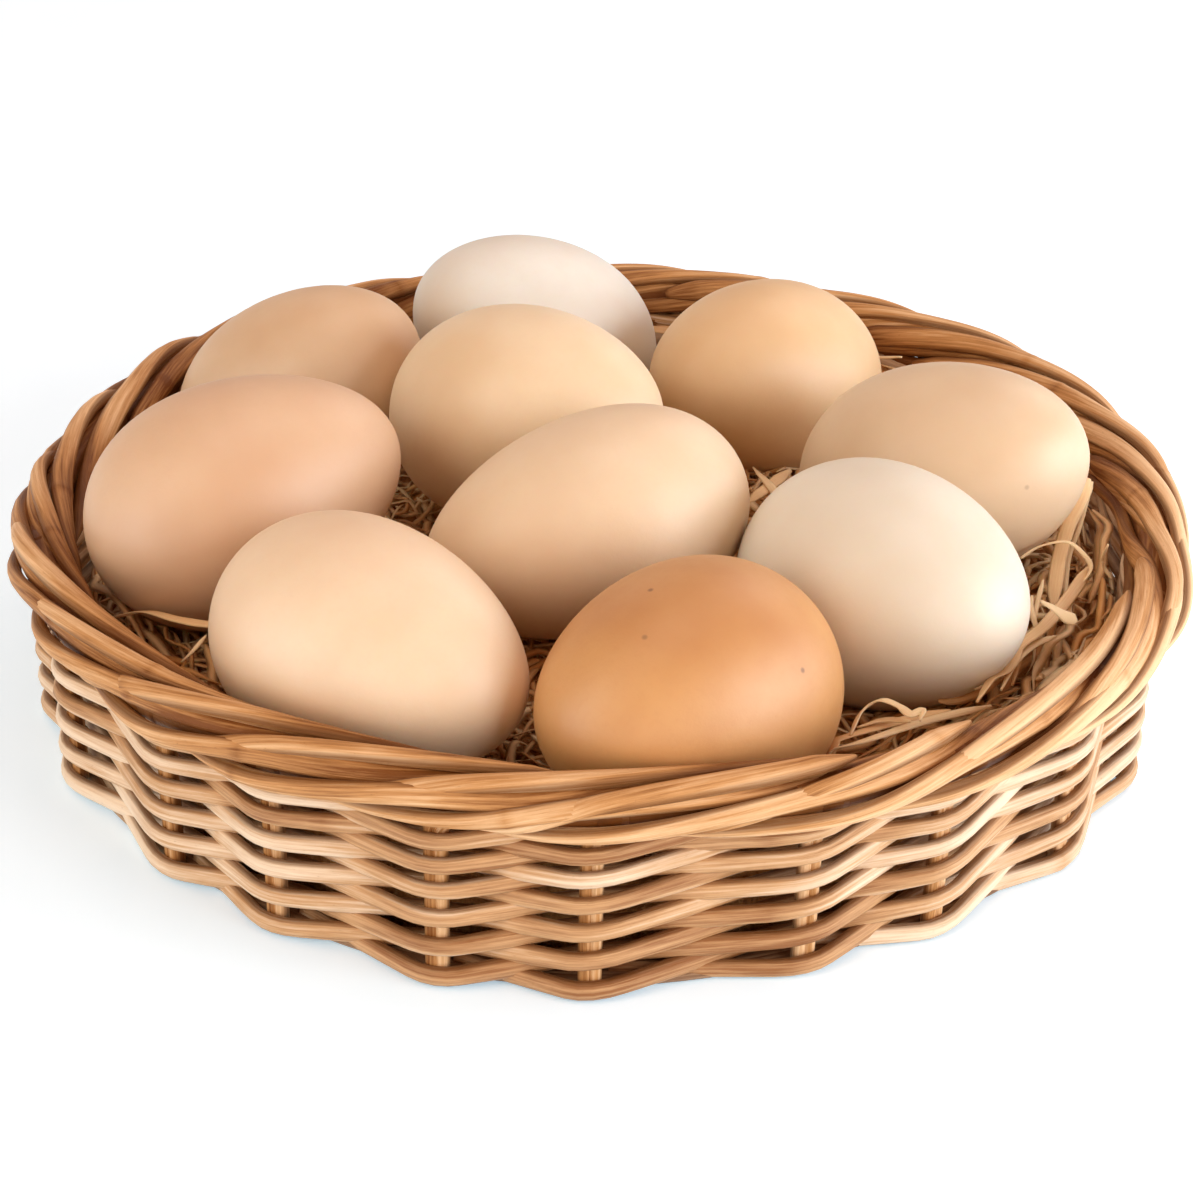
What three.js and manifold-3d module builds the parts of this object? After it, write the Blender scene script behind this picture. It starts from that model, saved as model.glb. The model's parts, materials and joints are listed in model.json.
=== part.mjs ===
// Round wicker tray of ten hen's eggs on a bed of wood wool.
// Millimetres, +Z up. The origin is the centre of the foot, on the surface the tray stands on.
// The front is towards -Y. Angles round the tray start at the front and run anticlockwise
// seen from above, so +90 degrees is towards +X.

import * as THREE from 'three';
import { mergeVertices } from 'three/addons/utils/BufferGeometryUtils.js';
import Module from 'manifold-3d';

const wasm = await Module();
wasm.setup();

// ---- driving dimensions -------------------------------------------------

// Stakes, each a pair of upright rods: the step on to the next stake in degrees, and how far the
// wall and the border bulge out there. All are as uneven as hand work leaves them.
const FIRST_STAKE_ANGLE = -62.5;
const STAKES = [
  { step: 18.5, wall: 2.4, border: 1.5 },
  { step: 13.7, wall: 1.2, border: 1.6 },
  { step: 16.6, wall: 1.4, border: 1.3 },
  { step: 13.3, wall: 3.4, border: 0.7 },
  { step: 19.5, wall: 3.4, border: 1.6 },
  { step: 13.7, wall: 0.8, border: 1.5 },
  { step: 17.7, wall: 0.8, border: 1.6 },
  { step: 17, wall: 1.3, border: 1.5 },
  { step: 14.5, wall: 0.8, border: 1.3 },
  { step: 14, wall: 0, border: 0 },
  { step: 15, wall: 1.6, border: 1.6 },
  { step: 16, wall: 2.5, border: 2.5 },
  { step: 15, wall: 4.3, border: 4.3 },
  { step: 14, wall: 2.9, border: 2.9 },
  { step: 14, wall: 1, border: 1 },
  { step: 17, wall: 2.8, border: 2.8 },
  { step: 17, wall: 1.8, border: 1.8 },
  { step: 16, wall: 1.5, border: 1.5 },
  { step: 15, wall: 2.4, border: 2.4 },
  { step: 16, wall: 2.3, border: 2.3 },
  { step: 16.5, wall: 0.6, border: 0.6 },
  { step: 15, wall: 1, border: 1 },
  { step: 15, wall: 2.5, border: 1.5 },
];
const STAKE_ROD = 1.9;
const STAKE_FOOT = 0.4;

// Woven wall: one weaver for each stake. It starts at the foot in front of its own stake and
// climbs from stake to stake, behind the next and in front of the one after. The rods are
// thick at the start and thin at the top, so each climb is a little less than the last.
const WALL_RADIUS = 101.8;
const WEAVER_PASSES = 12;
const FIRST_PASS_HEIGHT = 1.4;
const FIRST_CLIMB = 3.05;
const CLIMB_LOSS = 0.1;
const WEAVER_BUTT = 2.6;
const WEAVER_TIP = 1.7;
const WEAVE_SWING = 2.85;
const WEAVE_BEND = 0.16;

// Rolled border: each stake turns over to the right and rolls from outside the rim over the
// top to the inside. Places are counted in stakes from its own. The lower rod of the pair is
// cut where the next pair covers it, and the upper one runs on.
const STAKE_BEND_HEIGHT = 29.4;
const BORDER_RADIUS = 103.75;
const BORDER_HEIGHT = 34.8;
const BORDER_ROD = 2.1;
const BORDER_ROLL = 4.4;
const BORDER_TURN_PER_STAKE = 60;
const BORDER_TURN_AT_NEXT_STAKE = 26;
const PAIR_PLACES = [0.3, 1, 1.5, 2];
const UPPER_ROD_PLACES = [2.25, 3, 3.3];
const TIP_TAPER = 0.4;

// Foot of the tray.
const BASE_RADIUS = 97.5;
const BASE_THICKNESS = 3.2;
const BASE_EDGE = 1.6;
const BASE_SEGMENTS = 24;

// Bed of wood wool under and between the eggs.
const GAP = 0.35;
const BED_RADIUS = 97.3;
const BED_LEVEL = 23;
const BED_RING_RADII = [0, 26, 50, 72, 88, BED_RADIUS];
const BED_SEGMENTS = 20;

// Eggs: centre, heading and rise of the blunt end, length and width.
// The heading is counted from +X towards +Y, in degrees.
const EGG_BLUNTNESS = 0.13;
const EGG_SEGMENTS = 12;
const EGG_BANDS = 8;
const EGGS = [
  { name: 'egg_back', at: [-16, 69, 39], heading: 26, rise: -32, length: 57.3, width: 43.5 },
  { name: 'egg_back_left', at: [-61.4, 39.2, 37.3], heading: 174, rise: -42, length: 55.6, width: 43.4 },
  { name: 'egg_middle_back', at: [-15, 15.5, 45], heading: 152, rise: -12, length: 56.4, width: 43.5 },
  { name: 'egg_back_right', at: [32.6, 55.4, 36.2], heading: 44, rise: -16, length: 56.9, width: 42.2 },
  { name: 'egg_right', at: [64.7, 3.2, 40.5], heading: 151, rise: -26, length: 58.2, width: 43.5 },
  { name: 'egg_left', at: [-65, -20.2, 44.4], heading: 206, rise: -15, length: 59.8, width: 43.9 },
  { name: 'egg_middle', at: [-3, -27, 43.2], heading: 18, rise: 13, length: 60.7, width: 40 },
  { name: 'egg_front_right', at: [49.6, -40.3, 39.2], heading: 133, rise: -9, length: 56.7, width: 44.1 },
  { name: 'egg_front_left', at: [-38.1, -66, 39.6], heading: 146, rise: 3, length: 59.1, width: 42.4 },
  { name: 'egg_front', at: [13.9, -74.9, 37.2], heading: 41, rise: -6, length: 55.6, width: 44.5 },
];

// ---- finishes -----------------------------------------------------------

const weaverWood = new THREE.MeshStandardMaterial({ color: 0xdcb389, roughness: 0.6, metalness: 0 });
const stakeWood = new THREE.MeshStandardMaterial({ color: 0xd0a074, roughness: 0.6, metalness: 0 });
const baseWood = new THREE.MeshStandardMaterial({ color: 0xb98c62, roughness: 0.7, metalness: 0 });
const woodWool = new THREE.MeshStandardMaterial({ color: 0xc9a277, roughness: 0.85, metalness: 0 });
const SHELL_COLOURS = {
  egg_back: 0xeeddd6,
  egg_back_left: 0xe3bf9c,
  egg_middle_back: 0xeecaa2,
  egg_back_right: 0xe5b689,
  egg_right: 0xefd5b3,
  egg_left: 0xe2b997,
  egg_middle: 0xf0d0ac,
  egg_front_right: 0xf4e4cf,
  egg_front_left: 0xe9c39d,
  egg_front: 0xdb9862,
};

// ---- helpers ------------------------------------------------------------

const UP = new THREE.Vector3(0, 0, 1);
const degrees = THREE.MathUtils.degToRad;

function outward(angle) {
  return new THREE.Vector3(Math.sin(angle), -Math.cos(angle), 0);
}

function along(angle) {
  return new THREE.Vector3(Math.cos(angle), Math.sin(angle), 0);
}

function around(radius, angle, height) {
  return outward(angle).multiplyScalar(radius).setZ(height);
}

// Places round the tray are counted in stakes: 2.5 is half way from the third to the fourth.
function splitPlace(place) {
  const turns = Math.floor(place / STAKES.length);
  const rest = place - turns * STAKES.length;
  const stake = Math.floor(rest);
  return { turns, stake, share: rest - stake };
}

function angleAt(place) {
  const { turns, stake, share } = splitPlace(place);
  const before = STAKES.slice(0, stake).reduce((sum, { step }) => sum + step, 0);
  return degrees(FIRST_STAKE_ANGLE + 360 * turns + before + STAKES[stake].step * share);
}

function bulgeAt(place, part) {
  const { stake, share } = splitPlace(place);
  const next = (stake + 1) % STAKES.length;
  return THREE.MathUtils.lerp(STAKES[stake][part], STAKES[next][part], share);
}

function wallRadius(place) {
  return WALL_RADIUS + bulgeAt(place, 'wall');
}

// Middle line of the border, straight from stake to stake.
function borderCentre(place) {
  const before = Math.floor(place);
  const corner = (stake) => around(
    BORDER_RADIUS + bulgeAt(stake, 'border'),
    angleAt(stake),
    BORDER_HEIGHT,
  );
  return corner(before).lerp(corner(before + 1), place - before);
}

function shape(positions, index) {
  const geometry = new THREE.BufferGeometry();
  geometry.setAttribute('position', new THREE.Float32BufferAttribute(positions, 3));
  geometry.setIndex(index);
  geometry.computeVertexNormals();
  return geometry;
}

// Skin over cross-sections, each a ring of points that turns anticlockwise about the way forward.
function loft(sections) {
  const sides = sections[0].length;
  const last = (sections.length - 1) * sides;
  const index = [];
  for (let here = 0; here < last; here += sides) {
    const next = here + sides;
    for (let side = 0; side < sides; side++) {
      const other = (side + 1) % sides;
      index.push(here + side, here + other, next + other);
      index.push(here + side, next + other, next + side);
    }
  }
  for (let side = 1; side < sides - 1; side++) {
    index.push(0, side + 1, side);
    index.push(last, last + side, last + side + 1);
  }
  const positions = sections.flat().flatMap((point) => point.toArray());
  return shape(positions, index);
}

// Cross-section of two rods side by side: widest across the pair, thickest in its middle half.
// Where the upper rod is alone, the same outline shrinks to its side of the pair.
function pairSection(centre, across, through, rod, alone) {
  const corners = [[1, 0], [0.5, 0.5], [-0.5, 0.5], [-1, 0], [-0.5, -0.5], [0.5, -0.5]];
  return corners.map(([a, b]) => centre.clone()
    .addScaledVector(across, (alone ? (a + 1) / 2 : a) * rod)
    .addScaledVector(through, b * rod));
}

// ---- woven wall ---------------------------------------------------------

function passHeight(pass) {
  return FIRST_PASS_HEIGHT + FIRST_CLIMB * pass - CLIMB_LOSS * pass * (pass - 1) / 2;
}

// Beside each stake a weaver runs straight, and between stakes it crosses the wall.
function weaver(firstStake) {
  const sections = [];
  for (let pass = 0; pass < WEAVER_PASSES; pass++) {
    const side = pass % 2 === 0 ? 1 : -1;
    const half = THREE.MathUtils.lerp(WEAVER_BUTT, WEAVER_TIP, pass / (WEAVER_PASSES - 1)) / 2;
    for (const offset of [-WEAVE_BEND, WEAVE_BEND]) {
      const place = firstStake + pass + offset;
      const angle = angleAt(place);
      const centre = around(wallRadius(place) + side * WEAVE_SWING, angle, passHeight(pass));
      const out = outward(angle);
      sections.push([
        centre.clone().addScaledVector(UP, half),
        centre.clone().addScaledVector(out, half),
        centre.clone().addScaledVector(UP, -half),
        centre.clone().addScaledVector(out, -half),
      ]);
    }
  }
  return loft(sections);
}

// ---- stake and its border run -------------------------------------------

// Direction across the border's own round section, from its middle line.
function rollDirection(angle, turn) {
  return outward(angle).multiplyScalar(Math.cos(turn)).addScaledVector(UP, Math.sin(turn));
}

function borderStation(stake, place, alone) {
  const angle = angleAt(stake + place);
  const turn = degrees(BORDER_TURN_AT_NEXT_STAKE + BORDER_TURN_PER_STAKE * (place - 1));
  const out = rollDirection(angle, turn);
  return {
    point: borderCentre(stake + place).addScaledVector(out, BORDER_ROLL),
    across: rollDirection(angle, turn + Math.PI / 2),
    rod: BORDER_ROD,
    alone,
  };
}

// The left rod of the upright pair becomes the upper one in the border.
function stakeAndBorder(stake) {
  const angle = angleAt(stake);
  const upright = [STAKE_FOOT, STAKE_BEND_HEIGHT].map((height) => ({
    point: around(wallRadius(stake), angle, height),
    across: along(angle).negate(),
    rod: STAKE_ROD,
    alone: false,
  }));
  const stations = [
    ...upright,
    ...PAIR_PLACES.map((place) => borderStation(stake, place, false)),
    ...UPPER_ROD_PLACES.map((place) => borderStation(stake, place, true)),
  ];
  stations[stations.length - 1].rod *= TIP_TAPER;

  const sections = stations.map((station, i) => {
    const before = stations[Math.max(i - 1, 0)].point;
    const after = stations[Math.min(i + 1, stations.length - 1)].point;
    const forward = i === 1 ? UP.clone() : after.clone().sub(before).normalize();
    const through = forward.clone().cross(station.across).normalize();
    const across = through.clone().cross(forward);
    return pairSection(station.point, across, through, station.rod, station.alone);
  });
  return loft(sections);
}

// ---- base ---------------------------------------------------------------

function basePlate() {
  const profile = [
    [0, 0],
    [BASE_RADIUS - BASE_EDGE, 0],
    [BASE_RADIUS, BASE_EDGE],
    [BASE_RADIUS - BASE_EDGE / 2, BASE_THICKNESS],
    [0, BASE_THICKNESS],
  ].map(([radius, height]) => new THREE.Vector2(radius, height));
  return new THREE.LatheGeometry(profile, BASE_SEGMENTS).rotateX(Math.PI / 2);
}

// ---- eggs ---------------------------------------------------------------

// Egg outline: an ellipse widened towards the blunt end, which lies at +Y before it is placed.
function eggGeometry(length, width) {
  const fullness = (t) => Math.sqrt(Math.max(0, 1 - t * t)) * (1 + EGG_BLUNTNESS * t);
  const widest = (Math.sqrt(1 + 8 * EGG_BLUNTNESS ** 2) - 1) / (4 * EGG_BLUNTNESS);
  const profile = [];
  for (let band = 0; band <= EGG_BANDS; band++) {
    const t = -Math.cos(Math.PI * band / EGG_BANDS);
    const radius = band % EGG_BANDS === 0 ? 0 : width / 2 * fullness(t) / fullness(widest);
    profile.push(new THREE.Vector2(radius, length / 2 * t));
  }
  return new THREE.LatheGeometry(profile, EGG_SEGMENTS);
}

function eggPlacement(egg) {
  const heading = degrees(egg.heading);
  const rise = degrees(egg.rise);
  const blunt = new THREE.Vector3(
    Math.cos(rise) * Math.cos(heading),
    Math.cos(rise) * Math.sin(heading),
    Math.sin(rise),
  );
  const turn = new THREE.Quaternion().setFromUnitVectors(new THREE.Vector3(0, 1, 0), blunt);
  return { turn, at: new THREE.Vector3(...egg.at) };
}

// ---- bed of wood wool ---------------------------------------------------

// Height of the heap: higher against the right-hand wall, with low uneven mounds.
function bedHeight(x, y) {
  const rightBank = 4.5 * Math.exp(-((x - 88) ** 2 + (y + 30) ** 2) / 900);
  const middle = 2.5 * Math.exp(-(x * x + y * y) / 1600);
  const mounds = 1.2 * Math.sin(0.09 * x + 0.6) * Math.cos(0.08 * y - 0.4);
  return BED_LEVEL + rightBank + middle + mounds;
}

function bedHeap() {
  const floor = BASE_THICKNESS + GAP;
  const positions = [0, 0, floor, 0, 0, bedHeight(0, 0)];
  const index = [];
  const rings = BED_RING_RADII.slice(1);
  const top = (ring, segment) => 2 + ring * BED_SEGMENTS + segment % BED_SEGMENTS;
  const foot = (segment) => top(rings.length, segment);
  for (const radius of rings) {
    for (let segment = 0; segment < BED_SEGMENTS; segment++) {
      const rim = around(radius, 2 * Math.PI * segment / BED_SEGMENTS, 0);
      positions.push(rim.x, rim.y, bedHeight(rim.x, rim.y));
    }
  }
  for (let segment = 0; segment < BED_SEGMENTS; segment++) {
    const rim = around(BED_RADIUS, 2 * Math.PI * segment / BED_SEGMENTS, floor);
    positions.push(rim.x, rim.y, floor);
  }
  for (let segment = 0; segment < BED_SEGMENTS; segment++) {
    const next = segment + 1;
    index.push(1, top(0, segment), top(0, next));
    for (let ring = 0; ring < rings.length - 1; ring++) {
      index.push(top(ring, segment), top(ring + 1, segment), top(ring + 1, next));
      index.push(top(ring, segment), top(ring + 1, next), top(ring, next));
    }
    index.push(top(rings.length - 1, segment), foot(segment), foot(next));
    index.push(top(rings.length - 1, segment), foot(next), top(rings.length - 1, next));
    index.push(0, foot(next), foot(segment));
  }
  return shape(positions, index);
}

function toManifold(geometry) {
  const bare = geometry.clone();
  bare.deleteAttribute('normal');
  bare.deleteAttribute('uv');
  const merged = mergeVertices(bare);
  return new wasm.Manifold(new wasm.Mesh({
    numProp: 3,
    vertProperties: new Float32Array(merged.attributes.position.array),
    triVerts: new Uint32Array(merged.index.array),
  }));
}

// The heap with a hollow for each egg, a hair wider than the egg.
function bedWithHollows() {
  let bed = toManifold(bedHeap());
  for (const egg of EGGS) {
    const { turn, at } = eggPlacement(egg);
    const hollow = eggGeometry(egg.length + 2 * GAP, egg.width + 2 * GAP);
    hollow.applyMatrix4(new THREE.Matrix4().compose(at, turn, new THREE.Vector3(1, 1, 1)));
    bed = bed.subtract(toManifold(hollow));
  }
  const mesh = bed.getMesh();
  return shape(Array.from(mesh.vertProperties), Array.from(mesh.triVerts));
}

// ---- assembly -----------------------------------------------------------

const tray = new THREE.Group();

function addPiece(name, geometry, material) {
  const mesh = new THREE.Mesh(geometry, material);
  mesh.name = name;
  tray.add(mesh);
  return mesh;
}

const numbered = (stem, number) => `${stem}_${String(number).padStart(2, '0')}`;

addPiece('base', basePlate(), baseWood);
for (let stake = 0; stake < STAKES.length; stake++) {
  addPiece(numbered('weaver', stake + 1), weaver(stake), weaverWood);
}
for (let stake = 0; stake < STAKES.length; stake++) {
  addPiece(numbered('stake', stake + 1), stakeAndBorder(stake), stakeWood);
}
addPiece('wood_wool_bed', bedWithHollows(), woodWool);
for (const egg of EGGS) {
  const shell = new THREE.MeshStandardMaterial({
    color: SHELL_COLOURS[egg.name],
    roughness: 0.5,
    metalness: 0,
  });
  const mesh = addPiece(egg.name, eggGeometry(egg.length, egg.width), shell);
  const { turn, at } = eggPlacement(egg);
  mesh.quaternion.copy(turn);
  mesh.position.copy(at);
}

export default tray;
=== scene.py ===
"""Round wicker tray of ten hen's eggs on wood wool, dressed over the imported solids.

Shapes are worked out in millimetres and turned into metres when a mesh is made.
Angles round the tray start at the front (-Y) and run anticlockwise seen from above.
A place round the tray is counted in stakes: 2.5 is half way from the third stake to the fourth.
"""
import json
import math
import random

import bpy
import numpy as np
from mathutils import Matrix, Vector, noise


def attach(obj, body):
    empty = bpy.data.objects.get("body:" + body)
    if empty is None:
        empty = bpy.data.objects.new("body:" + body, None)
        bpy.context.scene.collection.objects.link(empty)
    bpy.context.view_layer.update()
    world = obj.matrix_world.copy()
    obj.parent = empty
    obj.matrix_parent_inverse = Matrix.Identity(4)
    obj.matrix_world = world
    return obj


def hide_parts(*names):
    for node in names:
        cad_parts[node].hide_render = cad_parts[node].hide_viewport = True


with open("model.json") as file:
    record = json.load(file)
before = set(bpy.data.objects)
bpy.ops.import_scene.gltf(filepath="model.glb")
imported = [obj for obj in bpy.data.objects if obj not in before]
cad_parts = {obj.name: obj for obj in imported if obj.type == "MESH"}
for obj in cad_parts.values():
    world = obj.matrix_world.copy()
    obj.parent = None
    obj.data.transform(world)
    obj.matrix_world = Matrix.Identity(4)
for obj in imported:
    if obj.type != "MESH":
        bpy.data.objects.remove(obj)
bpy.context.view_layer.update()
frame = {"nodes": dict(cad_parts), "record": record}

MM = 0.001
BODY = "root"
NODES = frame["nodes"]

# First number of each kind's random draws or grain.
WEAVER_SEED = 100
STAKE_SEED = 500
STRAND_SEED = 42
WALL_STRAND_GRAIN = 2000
CURL_GRAIN = 5000

# ---- driving dimensions, in millimetres ----------------------------------

STAKE_ROD_RADIUS = 1.3
STAKE_PAIR_HALF = 0.72
STAKE_OUTSET = 0.5
STAKE_FOOT = 0.4
STAKE_BEND_HEIGHT = 28.7
STAKE_BEND_STAGGER = 0.7

# A weaver starts inside the wall, a little before its own stake, and climbs from stake to stake.
WEAVER_PASSES = 12
FIRST_PASS_HEIGHT = 1.8
FIRST_CLIMB = 3.05
CLIMB_LOSS = 0.1
WEAVER_BUTT_RADIUS = 1.66
WEAVER_TIP_RADIUS = 1.45
WEAVER_FLATNESS = 0.76
WEAVER_FULLNESS = 0.12
WEAVER_HEIGHT_WOBBLE = 0.3
# Tint is the lightness of a rod: 0 dark, 1 light. The weavers are darker towards the front, as
# painted shade on the front of the wall.
WEAVER_TINT_LIFT = 0.13
WEAVER_FRONT_SHADE = 0.46
WEAVER_FRONT_SPREAD = 0.55
KNOT_SPACING = 110
KNOT_LENGTH = 1.1
KNOT_DARKNESS = 0.22
KNOT_SWELL = 0.1
BORDER_KNOT_SWELL = 0.08
ROD_UNEVENNESS = 0.08
TINT_UNEVENNESS = 0.2
GRAIN_LENGTH = 900
WEAVE_CORNER_SWING = 3.55
WEAVE_BEND = 0.17
WEAVE_START = -0.92
WEAVE_END = 11.3
WEAVE_SAMPLES_PER_STAKE = 12

# The border rolls round a ring. Each row below is a place counted in stakes from the rod's own
# stake, the turn in degrees from straight outwards towards the top, and the distance from the ring.
BORDER_HEIGHT = 34.8
BORDER_ROLL = 4.4
BORDER_TURN_AT_NEXT_STAKE = 26
NEAR_STAKE = 2.5
BORDER_ROUNDING = 0.14
UPPER_RUN = [
    (0.24, -62, 3.4), (0.50, -22, 4.1), (1.0, 42, 4.7), (2.0, 100, 4.9), (3.0, 156, 5.0),
    (3.8, 206, 5.8),
]
# The lower rod slips under the upper ones, runs on inside the roll and ends between roll and wall.
LOWER_RUN = [
    (0.24, -84, 3.3), (0.50, -64, 4.1), (1.0, -28, 4.9), (2.0, 27, 4.4), (2.8, 62, 2.7),
    (3.4, 130, 2.7), (4.0, 188, 4.2), (5.0, 222, 5.6), (5.7, 236, 6.8),
]
LOWER_END = 5.7
# Where the upper rod of each stake is cut, counted in stakes from its own.
UPPER_ENDS = [
    3.5, 2.9, 3.4, 2.3, 2.15, 3.15, 2.6, 3.7, 3.3, 3.8, 3.5, 3.8,
    3.2, 3.8, 3.5, 3.8, 3.7, 3.3, 3.8, 3.6, 3.1, 3.8, 3.5,
]
BORDER_ROD_WIDTH = 1.52
BORDER_ROD_DEPTH = 1.38
LOWER_ROD_WIDTH = 1.42
BORDER_STEP = 2.0
# How far a rod may lean and lift from its run, in degrees and millimetres.
LEAN_RANGE = (-5, 7)
LIFT_RANGE = (-0.15, 0.3)
STEADY_UNTIL = 0.3
INNER_WIDENING = 0.3
# Border rods darken as they run on inside the roll, from INNER_DARK_FROM stakes on: painted shade
# inside the roll.
INNER_PAINTED_SHADE = 0.45
INNER_DARK_FROM = 1.7
# The upright stems are darker than the border: painted shade where they stand among the weavers.
STEM_PAINTED_SHADE = 0.15
# The border is lighter towards the right and darker towards the left: painted light and shade from
# the lamps on the right.
BORDER_PAINTED_SIDE_LIGHT = 0.2
BEND_REACH = 0.42
# Rod tails fill the inside of the roll; their dark tint is painted shade there.
TAIL_RADIUS = 3.5
TAIL_REACH = 1.15
TAIL_SHADE_TINT = -0.25
TAIL_SAMPLES = 12
TIP_LENGTH = 7.0

EGG_BLUNTNESS = 0.13
EGG_MERIDIANS = 72
EGG_BANDS = 48
EGG_LUMP_SIZE = 24
EGG_LUMP_DEPTH = 0.006
# Specks on the shells: share along the egg, turn round it in radians, strength.
SPECKS = {
    "egg_front": [(-0.30, -1.69, 0.7), (-0.55, -1.30, 0.5), (0.23, -0.55, 0.7)],
    "egg_right": [(-0.76, 2.98, 0.3)],
}
SPECK_RADIUS = 0.6
# Each egg's grain starts this far from the last one's, so that no two are alike.
SHELL_SHIFT = 100

BED_RADIUS = 97.2
BED_WALL_GAP = 5.9
BED_LEVEL = 23
CORE_DROP = 3.0
# The bed's top is lowered under an egg in steps, at most so many, until it clears the egg.
CORE_EGG_GAP = 0.4
CORE_LOWERING = 3.0
CORE_LOWERINGS = 6
CORE_RINGS = 60
CORE_SEGMENTS = 160
# Roughness of the bed: size and depth of its lumps.
CORE_LUMPS = (5, 1.3)
CORE_GRAINS = (1.8, 0.7)
# Strands on the bed and up the wall: how many, half widths, tints and largest twist.
CARPET_STRANDS = 1060
CARPET_WIDTHS = (0.3, 1.0)
CARPET_TINTS = (0.0, 0.85)
CARPET_TWIST = 1.5
WALL_STRANDS = 210
WALL_WIDTHS = (0.35, 1.25)
WALL_TINTS = (-0.1, 0.8)
WALL_TWIST = 1.8
STRAND_THICKNESS = (0.1, 0.2)
STRAND_START_GAP = 1.0
STRAND_EGG_GAP = 0.2
STRAND_WALL_GAP = 0.6
# Beyond this radius the strands lie along the wall.
TURNED_BEYOND = 80
WALL_STRAND_RADII = (83, 96.3)
WALL_STRAND_RISE = 8.5
CURL_THICKNESS = 0.22
# Strands that stand out one by one: half width, tint, twist, and points round the tray, each as
# the turn from the front in degrees, the radius and the height.
CURLS = [
    (1.5, 0.6, 0.5, [(70, 87, 30), (79, 86, 32), (85, 87.5, 35), (88.5, 90, 38), (91, 92, 41)]),
    (0.5, 0.9, 0.3, [(72, 88.5, 29), (82, 88, 31), (86.5, 90, 34), (90.5, 92, 37), (91.5, 93, 40)]),
    (0.5, 0.85, 1.2, [(78, 79, 33), (79.5, 82.5, 35), (80, 87, 36), (79, 90, 35), (77.5, 92, 33),
                      (74, 90, 31)]),
    # This strand's tint of 1.3, lighter than the others, makes up for the shade it lies in: painted
    # light.
    (1.4, 1.3, 0.4, [(64, 86.5, 36), (62, 91, 36.5), (61, 94.5, 36)]),
    (1.2, 0.5, 0.8, [(43, 92.5, 33), (49, 89, 33), (56, 87.5, 33), (62, 88.5, 33),
                     (70.5, 89.5, 32.5), (79.5, 92, 32)]),
    (0.6, 0.9, 0.5, [(47.5, 92, 32), (53.5, 89, 32), (58.5, 89, 32), (61.5, 91, 32)]),
    (0.45, 0.8, 0.6, [(64.5, 85.5, 30), (68, 84.5, 32), (70.5, 84.5, 35)]),
    (0.5, 0.75, 0.6, [(62, 88, 30), (65, 84.5, 33), (66, 84, 35)]),
    (0.8, 0.8, 1.0, [(28.5, 86.5, 31), (31, 84, 33), (33, 85, 35), (34, 88, 35), (34, 91, 35),
                     (35, 92, 35.5), (34, 93.5, 35)]),
    (0.7, 0.6, 0.5, [(30, 85, 31), (33, 86.5, 32), (34.5, 90.5, 33)]),
    (1.0, 0.45, 0.6, [(-65, 95.5, 30), (-61.5, 91, 33), (-56.5, 88, 34.5), (-53.5, 84, 34.5),
                      (-54.5, 78.5, 33)]),
    (0.4, 0.8, 0.4, [(-50.5, 92.5, 32), (-50, 90.5, 34), (-51, 87, 35)]),
    (1.3, 0.6, 0.6, [(118.5, 31.5, 27), (119.5, 36.5, 29), (129.5, 49, 27)]),
    (1.0, 0.8, 0.8, [(136.5, 44, 27), (120, 38, 29.5), (114.5, 39, 27)]),
    (0.6, 0.8, 0.3, [(145, 95.5, 32), (141.5, 95.5, 33.5), (138, 95, 35.5)]),
    (0.4, 0.9, 0.6, [(78, 94.5, 38), (79.5, 94, 33), (79, 96, 30)]),
    (0.8, 0.5, 0.7, [(52, 90, 29), (60, 86, 30), (68, 87.5, 30.5), (77, 91, 30)]),
    (0.7, 0.7, 0.9, [(24, 87, 29.5), (29, 89, 31), (37, 90, 31.5), (45, 93, 31)]),
    (0.9, 0.35, 0.4, [(20, 86, 28.5), (27, 86, 30.5), (35, 87, 31), (41, 89.5, 31)]),
    (1.4, 0.4, 0.4, [(135, 96.5, 24), (140, 96.5, 26), (144, 96.5, 27), (150, 96, 27)]),
    (1.3, 0.3, 0.5, [(149, 96.5, 29.0), (145, 96.5, 30), (141, 96.5, 30), (136, 96.5, 28)]),
    (1.3, 0.5, 0.4, [(134, 96.5, 31), (139, 96.5, 31.5), (145, 96.5, 31)]),
    (1.5, 0.3, 0.4, [(180, 96.5, 28.5), (175.5, 96.5, 30), (171, 96.5, 30), (165, 96.3, 28.5)]),
]

BASE_THICKNESS = 3.2
SKIRT_HEIGHT = 0.5
SKIRT_INNER_SHARE = 0.95
BASE_SPOKES = 32
BASE_SAMPLES = 192
BASE_RINGS = 30
BASE_FIRST_RADIUS = 5
BASE_RING_GAP = 3.1
BASE_RING_HEIGHT = 1.6
BASE_ROD = (1.1, 1.5)
FOOT_ROD = (1.0, 1.4)
# Rings that fill in to the foot of the wall, dark as painted shade in the gaps there: distance
# inside the wall and height.
FOOT_RINGS = [(5.0, 1.1), (2.4, 1.1), (1.5, 1.0)]
RING_GRAIN_SHIFT = 37.0

CAMERA_ELEVATION = 29.05
CAMERA_DISTANCE = 480
CAMERA_TARGET = (-0.34, 0.0, 13.2)
CAMERA_ROLL = 1.23
CAMERA_SENSOR = 36
CAMERA_LENS = 73.87

# ---- small geometry helpers ----------------------------------------------


def outward(angle):
    return np.array([math.sin(angle), -math.cos(angle), 0.0])


def along(angle):
    return np.array([math.cos(angle), math.sin(angle), 0.0])


def around(radius, angle, height):
    return outward(angle) * radius + np.array([0.0, 0.0, height])


def unit(vectors):
    vectors = np.asarray(vectors, float)
    return vectors / np.linalg.norm(vectors, axis=-1, keepdims=True)


def mix(a, b, share):
    return a * (1 - share) + b * share


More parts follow.
